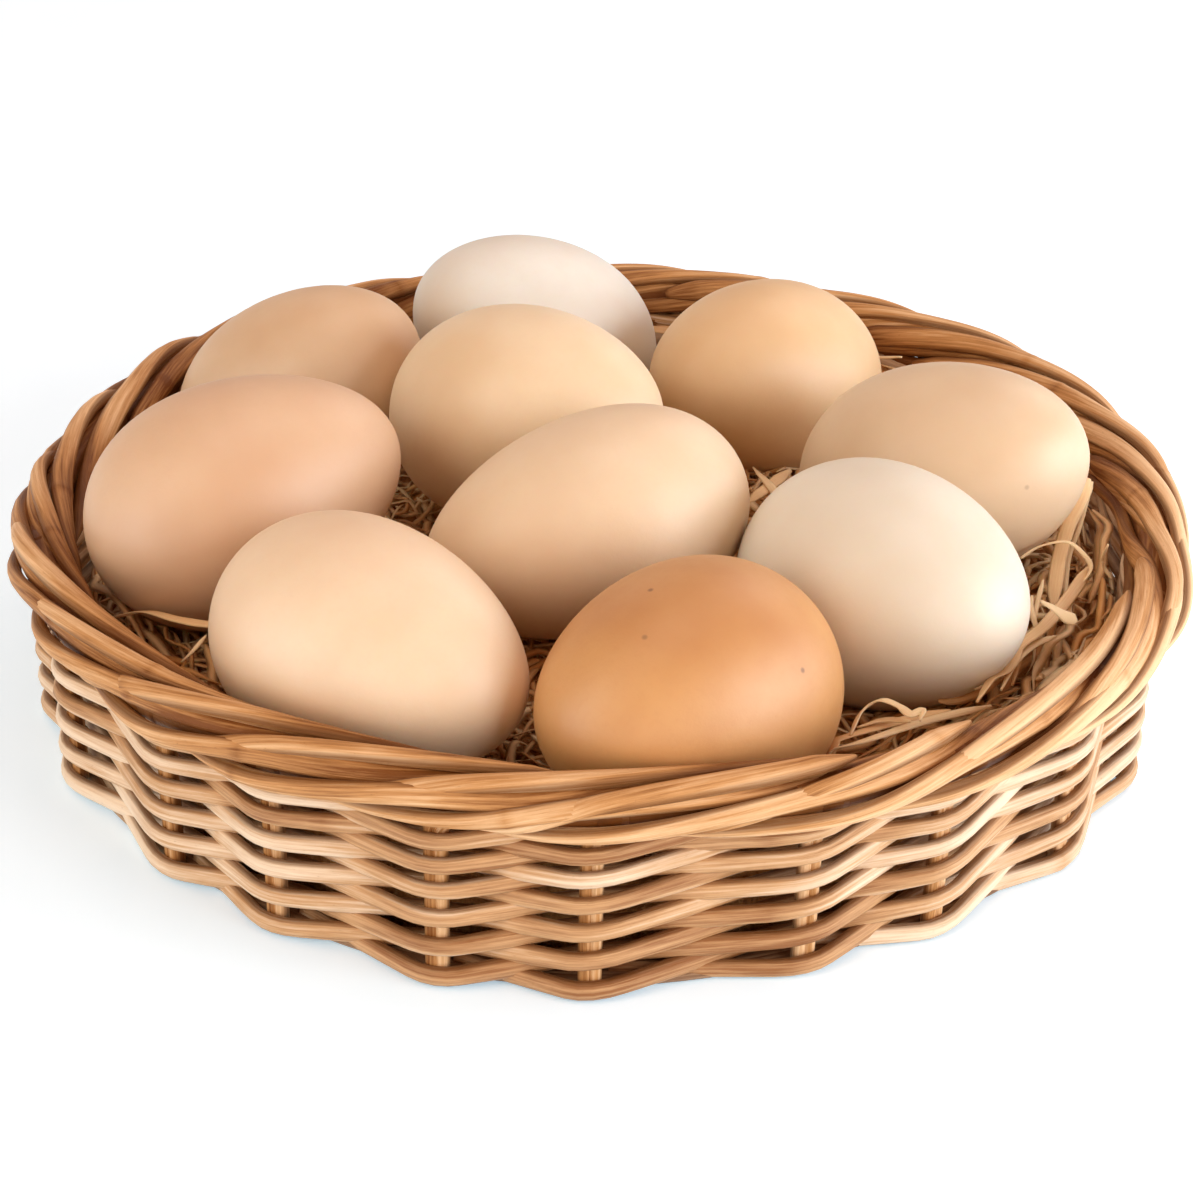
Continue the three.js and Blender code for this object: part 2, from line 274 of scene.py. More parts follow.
def smooth_curve(keys, steps):
    """Catmull-Rom curve through the keys, with so many steps between two of them."""
    keys = np.asarray(keys, float)
    padded = np.vstack([2 * keys[0] - keys[1], keys, 2 * keys[-1] - keys[-2]])
    points = []
    for i in range(1, len(padded) - 2):
        p0, p1, p2, p3 = padded[i - 1:i + 3]
        for t in np.arange(steps) / steps:
            points.append(0.5 * (2 * p1 + (p2 - p0) * t + (2 * p0 - 5 * p1 + 4 * p2 - p3) * t * t
                                 + (3 * p1 - p0 - 3 * p2 + p3) * t ** 3))
    points.append(keys[-1])
    return np.array(points)


def smooth_value(xs, ys, at):
    """Value on a smooth curve through the points (xs, ys)."""
    slopes = np.gradient(ys, xs)
    index = np.clip(np.searchsorted(xs, at, side="right") - 1, 0, len(xs) - 2)
    gap = xs[index + 1] - xs[index]
    t = (at - xs[index]) / gap
    return ((2 * t ** 3 - 3 * t ** 2 + 1) * ys[index]
            + (t ** 3 - 2 * t ** 2 + t) * gap * slopes[index]
            + (3 * t ** 2 - 2 * t ** 3) * ys[index + 1]
            + (t ** 3 - t ** 2) * gap * slopes[index + 1])


def run_length(centres):
    """How far along the line each of its points lies."""
    return np.concatenate([[0], np.cumsum(np.linalg.norm(np.diff(centres, axis=0), axis=1))])


def wobble(seed, x):
    """Smooth noise from -1 to 1 along a line, its own for each seed."""
    return noise.noise(Vector((x, 0.0, seed * 7.31)))


def wobbles(seed, xs):
    return np.array([wobble(seed, x) for x in xs])


def node_points(name):
    """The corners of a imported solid, in millimetres."""
    mesh = NODES[name].data
    points = np.zeros(len(mesh.vertices) * 3)
    mesh.vertices.foreach_get("co", points)
    return np.unique(np.round(points.reshape(-1, 3) / MM, 3), axis=0)


# ---- mesh making ---------------------------------------------------------


def ring_faces(first, rings, sides):
    """Quads between rings of points that follow one another from index first."""
    faces = []
    for here in range(first, first + (rings - 1) * sides, sides):
        for j in range(sides):
            k = (j + 1) % sides
            faces.append((here + j, here + k, here + sides + k, here + sides + j))
    return faces


def turned_over(faces):
    """The same faces seen from the other side, each from the same first corner."""
    return [face[:1] + face[:0:-1] for face in faces]


def new_mesh(name, points, faces, smooth=None):
    """A mesh from points in millimetres. smooth lists which faces are smooth, if not all."""
    mesh = bpy.data.meshes.new(name)
    mesh.from_pydata((np.asarray(points) * MM).tolist(), [], faces)
    mesh.polygons.foreach_set("use_smooth", smooth or [True] * len(faces))
    return mesh


class Skin:
    """Collects rods, ribbons and other lofts, and makes one mesh object of them."""

    def __init__(self):
        self.points = []
        self.faces = []
        self.grain = []
        self.tint = []
        self.count = 0

    def loft(self, centres, across, half_across, half_through, sides=12, tint=0.5, start=0.0):
        """A rod along centres. across points to the wide side of each cross-section."""
        centres = np.asarray(centres, float)
        total = len(centres)
        forward = unit(np.gradient(centres, axis=0))
        through = unit(np.cross(forward, across))
        across = np.cross(through, forward)
        half_across = np.broadcast_to(half_across, total)[:, None, None]
        half_through = np.broadcast_to(half_through, total)[:, None, None]
        turn = np.arange(sides) * 2 * math.pi / sides
        ring = (centres[:, None]
                + across[:, None] * np.cos(turn)[None, :, None] * half_across
                + through[:, None] * np.sin(turn)[None, :, None] * half_through)
        grain = np.zeros((total, sides, 3))
        grain[..., 0] = run_length(centres)[:, None] + start
        grain[..., 1] = np.cos(turn)
        grain[..., 2] = np.sin(turn)
        base = self.count
        self.points.append(ring.reshape(-1, 3))
        self.grain.append(grain.reshape(-1, 3))
        self.tint.append(np.repeat(np.broadcast_to(tint, total), sides))
        self.faces += ring_faces(base, total, sides)
        self.faces.append(tuple(base + j for j in reversed(range(sides))))
        self.faces.append(tuple(base + (total - 1) * sides + j for j in range(sides)))
        self.count += total * sides

    def make(self, name, material, slot, replaced=()):
        smooth = [len(face) == 4 for face in self.faces]
        mesh = new_mesh(name, np.vstack(self.points), self.faces, smooth)
        write_attribute(mesh, "grain", "FLOAT_VECTOR", "vector", np.vstack(self.grain))
        write_attribute(mesh, "tint", "FLOAT", "value", np.concatenate(self.tint))
        place(mesh, name, material, slot, replaced)


def write_attribute(mesh, name, kind, field, values):
    layer = mesh.attributes.new(name, kind, "POINT")
    layer.data.foreach_set(field, np.asarray(values, np.float32).ravel())


def place(mesh, name, material, slot, replaced):
    mesh.materials.append(material)
    mesh.update()
    piece = bpy.data.objects.new(name, mesh)
    bpy.context.scene.collection.objects.link(piece)
    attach(piece, BODY)
    if replaced:
        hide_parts(*replaced)


# ---- materials -----------------------------------------------------------


class Shader:
    """A material and the nodes that feed its Principled shader."""

    def __init__(self, name):
        self.material = bpy.data.materials.new(name)
        self.material.use_nodes = True
        self.tree = self.material.node_tree
        self.surface = self.tree.nodes["Principled BSDF"]

    def node(self, kind, settings=None, **links):
        made = self.tree.nodes.new(kind)
        for key, value in (settings or {}).items():
            setattr(made, key, value)
        for key, value in links.items():
            self.feed(made.inputs[key], value)
        return made

    def feed(self, socket, value):
        if isinstance(value, bpy.types.NodeSocket):
            self.tree.links.new(value, socket)
        else:
            socket.default_value = value

    def set(self, **values):
        for key, value in values.items():
            self.feed(self.surface.inputs[key.replace("_", " ")], value)

    def attribute(self, name):
        return self.node("ShaderNodeAttribute", {"attribute_name": name})

    def stretch(self, vector, scale):
        made = self.node("ShaderNodeMapping", None, Vector=vector)
        made.inputs["Scale"].default_value = scale
        return made.outputs["Vector"]

    def noise(self, vector, scale, detail=3.0, roughness=0.55):
        made = self.node("ShaderNodeTexNoise", None, Vector=vector, Scale=scale, Detail=detail,
                         Roughness=roughness)
        return made.outputs["Fac"]

    def ramp(self, value, stops):
        made = self.node("ShaderNodeValToRGB", None, Fac=value)
        elements = made.color_ramp.elements
        while len(elements) < len(stops):
            elements.new(0.5)
        for element, (position, colour) in zip(elements, stops):
            element.position = position
            element.color = (*colour, 1.0)
        return made.outputs["Color"]

    def blend(self, share, a, b):
        made = self.node("ShaderNodeMix", {"data_type": "RGBA"})
        self.feed(made.inputs[0], share)
        self.feed(made.inputs[6], a if isinstance(a, bpy.types.NodeSocket) else (*a, 1.0))
        self.feed(made.inputs[7], b if isinstance(b, bpy.types.NodeSocket) else (*b, 1.0))
        return made.outputs[2]

    def maths(self, operation, a, b=0.0, c=0.0):
        made = self.node("ShaderNodeMath", {"operation": operation})
        for socket, value in zip(made.inputs, (a, b, c)):
            self.feed(socket, value)
        return made.outputs[0]

    def distance(self, vector, point):
        made = self.node("ShaderNodeVectorMath", {"operation": "DISTANCE"})
        self.feed(made.inputs[0], vector)
        self.feed(made.inputs[1], point)
        return made.outputs["Value"]

    def bump(self, height, strength, distance, under=None):
        made = self.node("ShaderNodeBump", None, Height=height, Strength=strength,
                         Distance=distance)
        if under is not None:
            self.feed(made.inputs["Normal"], under)
        return made.outputs["Normal"]


BLACK = (0.0, 0.0, 0.0)
WHITE = (1.0, 1.0, 1.0)


def grey(value):
    return (value, value, value)


def willow(name, dark, middle, light, gloss):
    """Peeled willow: long grain streaks, slow changes of colour along the rod, and sides darkened
    to a deep brown as painted shade between the rods.
    """
    shader = Shader(name)
    grain = shader.attribute("grain").outputs["Vector"]
    tint = shader.attribute("tint").outputs["Fac"]
    streaks = shader.noise(shader.stretch(grain, (0.05, 2.6, 2.6)), 1.0, 5.0, 0.65)
    slow = shader.noise(shader.stretch(grain, (0.03, 0.4, 0.4)), 1.0, 3.0)
    share = shader.maths("ADD", shader.maths("MULTIPLY", streaks, 0.95),
                         shader.maths("MULTIPLY", slow, 0.8))
    share = shader.maths("ADD", share, shader.maths("MULTIPLY_ADD", tint, 0.5, -0.53))
    colour = shader.ramp(share, [(0.22, dark), (0.5, middle), (0.8, light)])
    specks = shader.noise(shader.stretch(grain, (0.9, 3.0, 3.0)), 1.0, 4.0, 0.7)
    speckled = shader.ramp(specks, [(0.62, BLACK), (0.75, grey(0.35))])
    colour = shader.blend(speckled, colour, dark)
    # The sides of each rod are darkened: painted shade where one rod lies against the next.
    sides = shader.node("ShaderNodeSeparateXYZ", None, Vector=grain).outputs["Y"]
    edge = shader.ramp(shader.maths("ABSOLUTE", sides), [(0.74, BLACK), (0.99, grey(0.75))])
    colour = shader.blend(edge, colour, EDGE_PAINTED_SHADE)
    fibre = shader.noise(shader.stretch(grain, (0.12, 7.0, 7.0)), 1.0, 4.0, 0.6)
    shader.set(
        Base_Color=colour,
        Roughness=shader.maths("MULTIPLY_ADD", streaks, 0.25, 0.38),
        Normal=shader.bump(fibre, 0.5, 0.0003, shader.bump(streaks, 0.4, 0.0006)),
    )
    shader.surface.inputs["Specular IOR Level"].default_value = gloss
    return shader.material


def shell(name, colour, deep, specks):
    """Eggshell: soft cloudy colour, fine pores, a faint sheen, and light that sinks in a little."""
    shader = Shader(name)
    place_on_shell = shader.attribute("grain").outputs["Vector"]
    clouds = shader.noise(place_on_shell, 0.045, 3.0, 0.5)
    fine = shader.noise(place_on_shell, 0.9, 4.0, 0.65)
    base = shader.blend(shader.ramp(clouds, [(0.35, BLACK), (0.7, WHITE)]), colour, deep)
    base = shader.blend(shader.ramp(fine, [(0.5, BLACK), (0.8, grey(0.22))]), base, deep)
    for speck, strength in specks:
        away = shader.distance(place_on_shell, speck)
        dot = shader.ramp(away, [(SPECK_RADIUS * 0.4, grey(strength)), (SPECK_RADIUS, BLACK)])
        base = shader.blend(dot, base, SPECK_BROWN)
    pores = shader.noise(place_on_shell, 2.6, 3.0, 0.6)
    dents = shader.noise(place_on_shell, 0.35, 2.0, 0.5)
    shader.set(
        Base_Color=base,
        Roughness=shader.maths("MULTIPLY_ADD", fine, 0.12, 0.44),
        Normal=shader.bump(pores, 0.16, 0.00012, shader.bump(dents, 0.06, 0.0006)),
    )
    shader.surface.inputs["Subsurface Weight"].default_value = 0.22
    shader.surface.inputs["Subsurface Radius"].default_value = (1.0, 0.45, 0.22)
    shader.surface.inputs["Subsurface Scale"].default_value = 0.004
    shader.surface.inputs["IOR"].default_value = 1.6
    shader.surface.inputs["Specular IOR Level"].default_value = 0.65
    return shader.material


def shavings(name, dark, light):
    """Thin dry shavings and straw: parallel fibres and a little light through them."""
    shader = Shader(name)
    grain = shader.attribute("grain").outputs["Vector"]
    tint = shader.attribute("tint").outputs["Fac"]
    fibres = shader.noise(shader.stretch(grain, (0.1, 5.0, 5.0)), 1.0, 4.0, 0.6)
    share = shader.maths("ADD", shader.maths("MULTIPLY", fibres, 0.6),
                         shader.maths("MULTIPLY_ADD", tint, 0.7, -0.08))
    colour = shader.ramp(share, [(0.2, dark), (0.85, light)])
    shader.set(Base_Color=colour, Roughness=0.62, Normal=shader.bump(fibres, 0.4, 0.0002))
    shader.surface.inputs["Subsurface Weight"].default_value = 0.1
    shader.surface.inputs["Subsurface Scale"].default_value = 0.001
    return shader.material


def litter(name):
    """Packed fine shavings seen deep between the eggs."""
    shader = Shader(name)
    position = shader.attribute("grain").outputs["Vector"]
    coarse = shader.noise(shader.stretch(position, (0.25, 0.9, 0.5)), 1.0, 6.0, 0.7)
    other = shader.noise(shader.stretch(position, (1.1, 0.3, 0.5)), 1.0, 6.0, 0.7)
    both = shader.maths("MULTIPLY", coarse, other)
    colour = shader.ramp(both, LITTER_STOPS)
    shader.set(Base_Color=colour, Roughness=0.85, Normal=shader.bump(both, 0.8, 0.002))
    return shader.material


# Deep brown of the painted shade along the sides of the willow rods.
EDGE_PAINTED_SHADE = (0.14, 0.045, 0.008)
SPECK_BROWN = (0.16, 0.06, 0.02)
LITTER_STOPS = [(0.12, (0.44, 0.17, 0.04)), (0.28, (0.76, 0.38, 0.12)), (0.5, (0.92, 0.60, 0.30))]
WEAVER = willow("weaver_willow", (0.29, 0.115, 0.034), (0.60, 0.345, 0.163),
                (0.86, 0.68, 0.50), 0.4)
BORDER = willow("border_willow", (0.20, 0.064, 0.010), (0.57, 0.285, 0.105),
                (0.87, 0.58, 0.33), 0.25)
STRAW = shavings("wood_wool", (0.72, 0.36, 0.11), (0.98, 0.78, 0.50))
LITTER = litter("wood_wool_core")
BASE_WILLOW = willow("base_willow", (0.2, 0.1, 0.05), (0.42, 0.26, 0.15), (0.6, 0.42, 0.27), 0.3)

# Each shell's two tones: the common one, and the deeper one of its clouds and fine specks.
SHELLS = {
    "egg_back": ((0.769, 0.761, 0.716), (0.713, 0.655, 0.586)),
    "egg_back_left": ((0.716, 0.521, 0.347), (0.643, 0.431, 0.264)),
    "egg_middle_back": ((0.847, 0.697, 0.498), (0.777, 0.593, 0.391)),
    "egg_back_right": ((0.781, 0.57, 0.336), (0.713, 0.481, 0.267)),
    "egg_right": ((0.75, 0.591, 0.414), (0.696, 0.513, 0.341)),
    "egg_left": ((0.704, 0.485, 0.32), (0.642, 0.409, 0.256)),
    "egg_middle": ((0.797, 0.64, 0.462), (0.742, 0.557, 0.382)),
    "egg_front_right": ((0.791, 0.748, 0.654), (0.752, 0.683, 0.568)),
    "egg_front_left": ((0.822, 0.645, 0.465), (0.762, 0.554, 0.374)),
    "egg_front": ((0.608, 0.315, 0.116), (0.519, 0.235, 0.076)),
}
SLOTS = {row["node"]: row["material_slot"] for row in frame["record"]["subparts"]}

# ---- where things are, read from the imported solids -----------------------

STAKES = sorted(name for name in NODES if name.startswith("stake_"))
WEAVERS = sorted(name for name in NODES if name.startswith("weaver_"))


def turn_of(point):
    return math.atan2(point[0], -point[1])


def stake_foot(name):
    """The middle of the two upright rods of a stake, on the floor."""
    points = node_points(name)
    return points[points[:, 2] < points[:, 2].min() + 0.1].mean(axis=0)


FEET = [stake_foot(name) for name in STAKES]
STAKE_ANGLES = np.unwrap([turn_of(foot) for foot in FEET])
WALL_RADII = np.array([math.hypot(foot[0], foot[1]) for foot in FEET])
STAKE_COUNT = len(STAKES)


def border_radius(stake):
    """Radius of the border's middle line at a stake, from the pair before, which rolls over it."""
    points = node_points(STAKES[stake - 1])
    high = points[points[:, 2] > BORDER_HEIGHT]
    away = np.abs([math.remainder(turn_of(point) - STAKE_ANGLES[stake], 2 * math.pi)
                   for point in high])
    over = high[away < math.radians(NEAR_STAKE)].mean(axis=0)
    outset = BORDER_ROLL * math.cos(math.radians(BORDER_TURN_AT_NEXT_STAKE))
    return math.hypot(over[0], over[1]) - outset


BORDER_RADII = np.array([border_radius(stake) for stake in range(STAKE_COUNT)])


def between_stakes(values, place, full_turn=0.0):
    """A value at a place round the tray, straight between its values at the stakes."""
    turns, rest = divmod(place, STAKE_COUNT)
    whole = int(rest)
    after = values[whole + 1] if whole + 1 < STAKE_COUNT else values[0] + full_turn
    return full_turn * turns + mix(values[whole], after, rest - whole)


def angle_at(place):
    return between_stakes(STAKE_ANGLES, place, 2 * math.pi)


def wall_radius(place):
    return between_stakes(WALL_RADII, place)


def border_centre(place):
    """Middle line of the border: straight from stake to stake, with its corners rounded."""
    middle = np.zeros(3)
    for at in (place - BORDER_ROUNDING, place, place + BORDER_ROUNDING):
        before = math.floor(at)
        corners = [around(BORDER_RADII[stake % STAKE_COUNT], angle_at(stake), BORDER_HEIGHT)
                   for stake in (before, before + 1)]
        middle += mix(*corners, at - before) / 3
    return middle


# ---- woven wall ----------------------------------------------------------


def pass_height(place):
    place = max(place, 0)
    return FIRST_PASS_HEIGHT + FIRST_CLIMB * place - CLIMB_LOSS * place * (place - 1) / 2


def weave_corner(stake, passed):
    """Where a rod bends round a stake, outside it and inside it in turn."""
    side = 1 if passed % 2 == 0 else -1
    radius = wall_radius(stake + passed) + side * WEAVE_CORNER_SWING
    return around(radius, angle_at(stake + passed), pass_height(passed))


def weave_point(stake, place):
    """The rod runs straight from stake to stake and bends where it passes one."""
    passed = math.floor(place + 0.5)
    offset = place - passed
    corner = weave_corner(stake, passed)
    before = weave_corner(stake, passed - 1)
    after = weave_corner(stake, passed + 1)
    if offset > WEAVE_BEND:
        return mix(corner, after, offset)
    if offset < -WEAVE_BEND:
        return mix(corner, before, -offset)
    share = (offset + WEAVE_BEND) / (2 * WEAVE_BEND)
    first = mix(corner, before, WEAVE_BEND)
    last = mix(corner, after, WEAVE_BEND)
    return mix(mix(first, corner, share), mix(corner, last, share), share)


def knots(run, dice):
    """How strongly a knot swells the rod at each point of its run: 1 in the middle of a knot."""
    swell = np.zeros(len(run))
    at = dice.uniform(0, KNOT_SPACING)
    while at < run[-1]:
        swell += np.exp(-((run - at) / KNOT_LENGTH) ** 2)
        at += KNOT_SPACING * dice.uniform(0.5, 1.5)
    return swell


def weaver_rod(stake, name):
    """One rod of the wall, from behind its own stake to its end eleven stakes on."""
    dice = random.Random(WEAVER_SEED + stake)
    count = int((WEAVE_END - WEAVE_START) * WEAVE_SAMPLES_PER_STAKE)
    places = np.linspace(WEAVE_START, WEAVE_END, count)
    centres = np.array([weave_point(stake, place) for place in places])
    centres[:, 2] += WEAVER_HEIGHT_WOBBLE * wobbles(stake + 1, places * 0.8) * np.clip(places, 0, 1)
    knot = knots(run_length(centres), dice)
    thick = np.interp(places, [0, WEAVER_PASSES - 1], [WEAVER_BUTT_RADIUS, WEAVER_TIP_RADIUS])
    thick *= 1 + ROD_UNEVENNESS * wobbles(stake + 40, places * 0.6) + KNOT_SWELL * knot
    thick *= 1 + WEAVER_FULLNESS * np.sin(math.pi * np.maximum(places, 0)) ** 2
    tint = dice.uniform(0.2, 0.8) + TINT_UNEVENNESS * wobbles(stake + 70, places * 0.5)
    turned = np.array([math.remainder(angle_at(stake + place), 2 * math.pi) for place in places])
    tint += WEAVER_TINT_LIFT
    # Painted shade: the weavers are darkened towards the front of the tray.
    tint -= WEAVER_FRONT_SHADE * np.exp(-(turned / WEAVER_FRONT_SPREAD) ** 2)
    across = np.tile([0.0, 0.0, 1.0], (count, 1))
    skin = Skin()
    skin.loft(centres, across, thick, thick * WEAVER_FLATNESS, tint=tint - KNOT_DARKNESS * knot,
              start=dice.uniform(0, GRAIN_LENGTH))
    skin.make(f"rod_{name}", WEAVER, SLOTS[name], (name,))


# ---- stakes and rolled border --------------------------------------------


def roll_direction(angle, turn):
    """From the border's middle line outwards, turned up and over by so much."""
    return outward(angle) * math.cos(turn) + np.array([0.0, 0.0, math.sin(turn)])


def border_run(stake, keys, end, lean, lift):
    """Points of one rod round the border ring, and the direction along the ring's surface at each.

    The rod is stiff: it runs nearly straight from key to key.
    """
    keys = np.array(keys)
    key_places = keys[:, 0]
    key_turns = keys[:, 1] + lean * np.clip(key_places - STEADY_UNTIL, 0, 2)
    key_rolls = keys[:, 2] + lift * np.clip(key_places - STEADY_UNTIL, 0, 1)
    key_points = np.array([
        border_centre(stake + place) + roll_direction(angle_at(stake + place), turn) * roll
        for place, turn, roll in zip(key_places, np.radians(key_turns), key_rolls)])
    spacing = BORDER_STEP / (BORDER_RADII.mean() * 2 * math.pi / STAKE_COUNT)
    places = np.arange(key_places[0], min(end, key_places[-1]), spacing)
    points = np.column_stack([smooth_value(key_places, column, places) for column in key_points.T])
    turns = np.radians(smooth_value(key_places, key_turns, places))
    across = [roll_direction(angle_at(stake + place), turn + math.pi / 2)
              for place, turn in zip(places, turns)]
    return places, list(points), across


def upright(stake, side):
    """Points of one of the two rods that stand side by side, from the foot to the bend."""
    angle = angle_at(stake)
    beside = along(angle) * side * STAKE_PAIR_HALF
    highest = STAKE_BEND_HEIGHT - side * STAKE_BEND_STAGGER
    heights = np.arange(highest, STAKE_FOOT, -BORDER_STEP)[::-1]
    return [around(wall_radius(stake) + STAKE_OUTSET, angle, height) + beside for height in heights]


def bend_over(start, end, way_on):
    """Points of the bend from the top of an upright to the start of its border run."""
    reach = np.linalg.norm(end - start) * BEND_REACH
    above = start + np.array([0.0, 0.0, reach])
    before = end - way_on * reach
    shares = np.linspace(0, 1, 8)[1:-1]
    return [(1 - t) ** 3 * start + 3 * (1 - t) ** 2 * t * above
            + 3 * (1 - t) * t * t * before + t ** 3 * end for t in shares]


def stake_pair(stake, name):
    """The two rods of a stake from foot to border, and the rod tail inside the roll."""
    dice = random.Random(STAKE_SEED + stake)
    skin = Skin()
    rods = ((-1, UPPER_RUN, UPPER_ENDS[stake], BORDER_ROD_WIDTH),
            (1, LOWER_RUN, LOWER_END, LOWER_ROD_WIDTH))
    for side, keys, end, width in rods:
        lean = dice.uniform(*LEAN_RANGE)
        lift = dice.uniform(*LIFT_RANGE)
        places, border, border_across = border_run(stake, keys, end, lean, lift)
        stem = upright(stake, side)
        bend = bend_over(stem[-1], border[0], unit(border[1] - border[0]))
        share = np.linspace(0, 1, len(bend) + 2)[1:-1]
        stem_across = -along(angle_at(stake))
        bend_across = [mix(stem_across, border_across[0], part) for part in share]
        centres = smooth_curve(stem + bend + border, 2)
        across = unit(smooth_curve([stem_across] * len(stem) + bend_across + border_across, 2))
        in_border = smooth_curve([[0]] * len(stem) + [[part] for part in share]
                                 + [[1]] * len(border), 2)[:, 0]
        place = smooth_curve([[0]] * (len(stem) + len(bend)) + [[value] for value in places],
                             2)[:, 0]
        run = run_length(centres)
        knot = knots(run, dice)
        size = dice.uniform(0.9, 1.12) * (1 + BORDER_KNOT_SWELL * knot)
        left = np.clip((run[-1] - run) / TIP_LENGTH, 0, 1)
        widening = 1 + INNER_WIDENING * np.clip(place - 1.0, 0, 1.5)
        wide = mix(STAKE_ROD_RADIUS, width * widening, in_border) * size * (0.3 + 0.7 * left ** 0.6)
        deep = mix(STAKE_ROD_RADIUS, BORDER_ROD_DEPTH, in_border) * size * (0.25 + 0.75 * left)
        tint = dice.uniform(0.35, 0.85)
        tint = tint + TINT_UNEVENNESS * wobbles(stake + 20 * side + 60, place * 1.3)
        # Painted shade: the rod darkens where it runs inside the roll.
        tint -= INNER_PAINTED_SHADE * np.clip(place - INNER_DARK_FROM, 0, 1.6)
        # Painted shade: the stems are darkened where they stand among the weavers.
        tint -= STEM_PAINTED_SHADE * (1 - in_border)
        # Painted light and shade: the border is lighter on the right of the tray and darker on the
        # left.
        tint += BORDER_PAINTED_SIDE_LIGHT * np.sin([angle_at(stake + p) for p in place])
        skin.loft(centres, across, wide, deep, tint=tint - KNOT_DARKNESS * knot,
                  start=dice.uniform(0, GRAIN_LENGTH))
    places = np.linspace(stake, stake + TAIL_REACH, TAIL_SAMPLES)
    across = [roll_direction(angle_at(place), 0.0) for place in places]
    centres = [border_centre(place) for place in places]
    # The tail's dark tint is painted shade inside the roll.
    skin.loft(centres, across, TAIL_RADIUS, TAIL_RADIUS, tint=TAIL_SHADE_TINT,
              start=dice.uniform(0, GRAIN_LENGTH))
    skin.make(f"willow_pair_{stake + 1:02d}", BORDER, SLOTS[name], (name,))


# ---- eggs ----------------------------------------------------------------


def fullness(t):
    """Half width of an egg along its length: t is -1 at the pointed end and 1 at the blunt."""
    return np.sqrt(np.maximum(0, 1 - t * t)) * (1 + EGG_BLUNTNESS * t)


WIDEST = (math.sqrt(1 + 8 * EGG_BLUNTNESS ** 2) - 1) / (4 * EGG_BLUNTNESS)


class Egg:
    """Centre, blunt direction, length and width of an egg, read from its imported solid."""

    def __init__(self, name):
        points = node_points(name)
        middle = points.mean(axis=0)
        _, _, axes = np.linalg.svd(points - middle, full_matrices=False)
        best = None
        for axis in axes:
            reach = points @ axis
            centre = middle + axis * ((reach.max() + reach.min()) / 2 - middle @ axis)
            arms = points - centre
            side = arms - np.outer(arms @ axis, axis)
            radius = np.linalg.norm(side, axis=1)
            at_ends = radius[np.abs(reach - centre @ axis) > 0.499 * np.ptp(reach)].max()
            if best is None or at_ends < best[0]:
                best = (at_ends, axis, centre, np.ptp(reach), radius, arms @ axis)
        _, self.axis, self.centre, self.length, radius, forward = best
        if (radius * forward).sum() < 0:
            self.axis = -self.axis
        self.width = 2 * radius.max() * fullness(WIDEST) / fullness(np.float64(0))

    def frame(self):
        side = unit(np.cross(self.axis, [0.0, 0.0, 1.0]))
        return np.array([self.axis, side, np.cross(self.axis, side)])

    def surface(self, t, turn):
        axis, side, other = self.frame()
        radius = self.width / 2 * fullness(t) / fullness(WIDEST)
        return (self.centre + np.multiply.outer(self.length / 2 * t, axis)
                + np.multiply.outer(radius * np.cos(turn), side)
                + np.multiply.outer(radius * np.sin(turn), other))

    def depth(self, points, grow):
        """1 on the shell, less than 1 inside it, more outside."""
        arms = np.asarray(points) - self.centre
        t = arms @ self.axis / (self.length / 2 + grow)
        side = np.linalg.norm(arms - np.multiply.outer(arms @ self.axis, self.axis), axis=-1)
        bulge = (1 + EGG_BLUNTNESS * np.clip(t, -1, 1)) / fullness(WIDEST)
        radius = side / ((self.width / 2 + grow) * bulge)
        return np.sqrt(t * t + radius * radius)


EGGS = {name: Egg(name) for name in SHELLS}


def egg_mesh(name, egg, seed):
    """A shell of quads between the ends, with faint lumps so that no egg is perfectly round."""
    t = -np.cos(np.linspace(0, math.pi, EGG_BANDS + 1)[1:-1])
    turn = np.arange(EGG_MERIDIANS) * 2 * math.pi / EGG_MERIDIANS
    grid_t, grid_turn = np.meshgrid(t, turn, indexing="ij")
    body = egg.surface(grid_t.ravel(), grid_turn.ravel())
    ends = egg.centre + np.outer([-egg.length / 2, egg.length / 2], egg.axis)
    points = np.vstack([body, ends])
    arms = points - egg.centre
    lumps = np.array([noise.noise(Vector((arm / EGG_LUMP_SIZE + seed * 5.7).tolist()))
                      for arm in arms])
    points = egg.centre + arms * (1 + EGG_LUMP_DEPTH * lumps)[:, None]
    faces = turned_over(ring_faces(0, len(t), EGG_MERIDIANS))
    south, north = len(body), len(body) + 1
    last = len(body) - EGG_MERIDIANS
    for j in range(EGG_MERIDIANS):
        k = (j + 1) % EGG_MERIDIANS
        faces.append((south, j, k))
        faces.append((north, last + k, last + j))
    mesh = new_mesh(name, points, faces)
    write_attribute(mesh, "grain", "FLOAT_VECTOR", "vector", arms + seed * SHELL_SHIFT)
    return mesh


def make_eggs():
    for seed, (name, (colour, deep)) in enumerate(SHELLS.items()):
        egg = EGGS[name]
        specks = []
        for t, turn, strength in SPECKS.get(name, ()):
            spot = egg.surface(np.array(t), np.array(turn)) - egg.centre + seed * SHELL_SHIFT
            specks.append((tuple(spot), strength))
        material = shell(f"shell_{name}", colour, deep, specks)
        mesh = egg_mesh(f"{name}_shell", egg, seed)
        place(mesh, f"{name}_shell", material, SLOTS[name], (name,))


# ---- wood wool -----------------------------------------------------------


def bed_height(x, y):
    """Top of the bed: nearly level, with a bank at the right front and a rise in the middle."""
    right_bank = 4.5 * math.exp(-((x - 88) ** 2 + (y + 30) ** 2) / 900)
    middle = 2.5 * math.exp(-(x * x + y * y) / 1600)
    mounds = 1.2 * math.sin(0.09 * x + 0.6) * math.cos(0.08 * y - 0.4)
    return BED_LEVEL + right_bank + middle + mounds


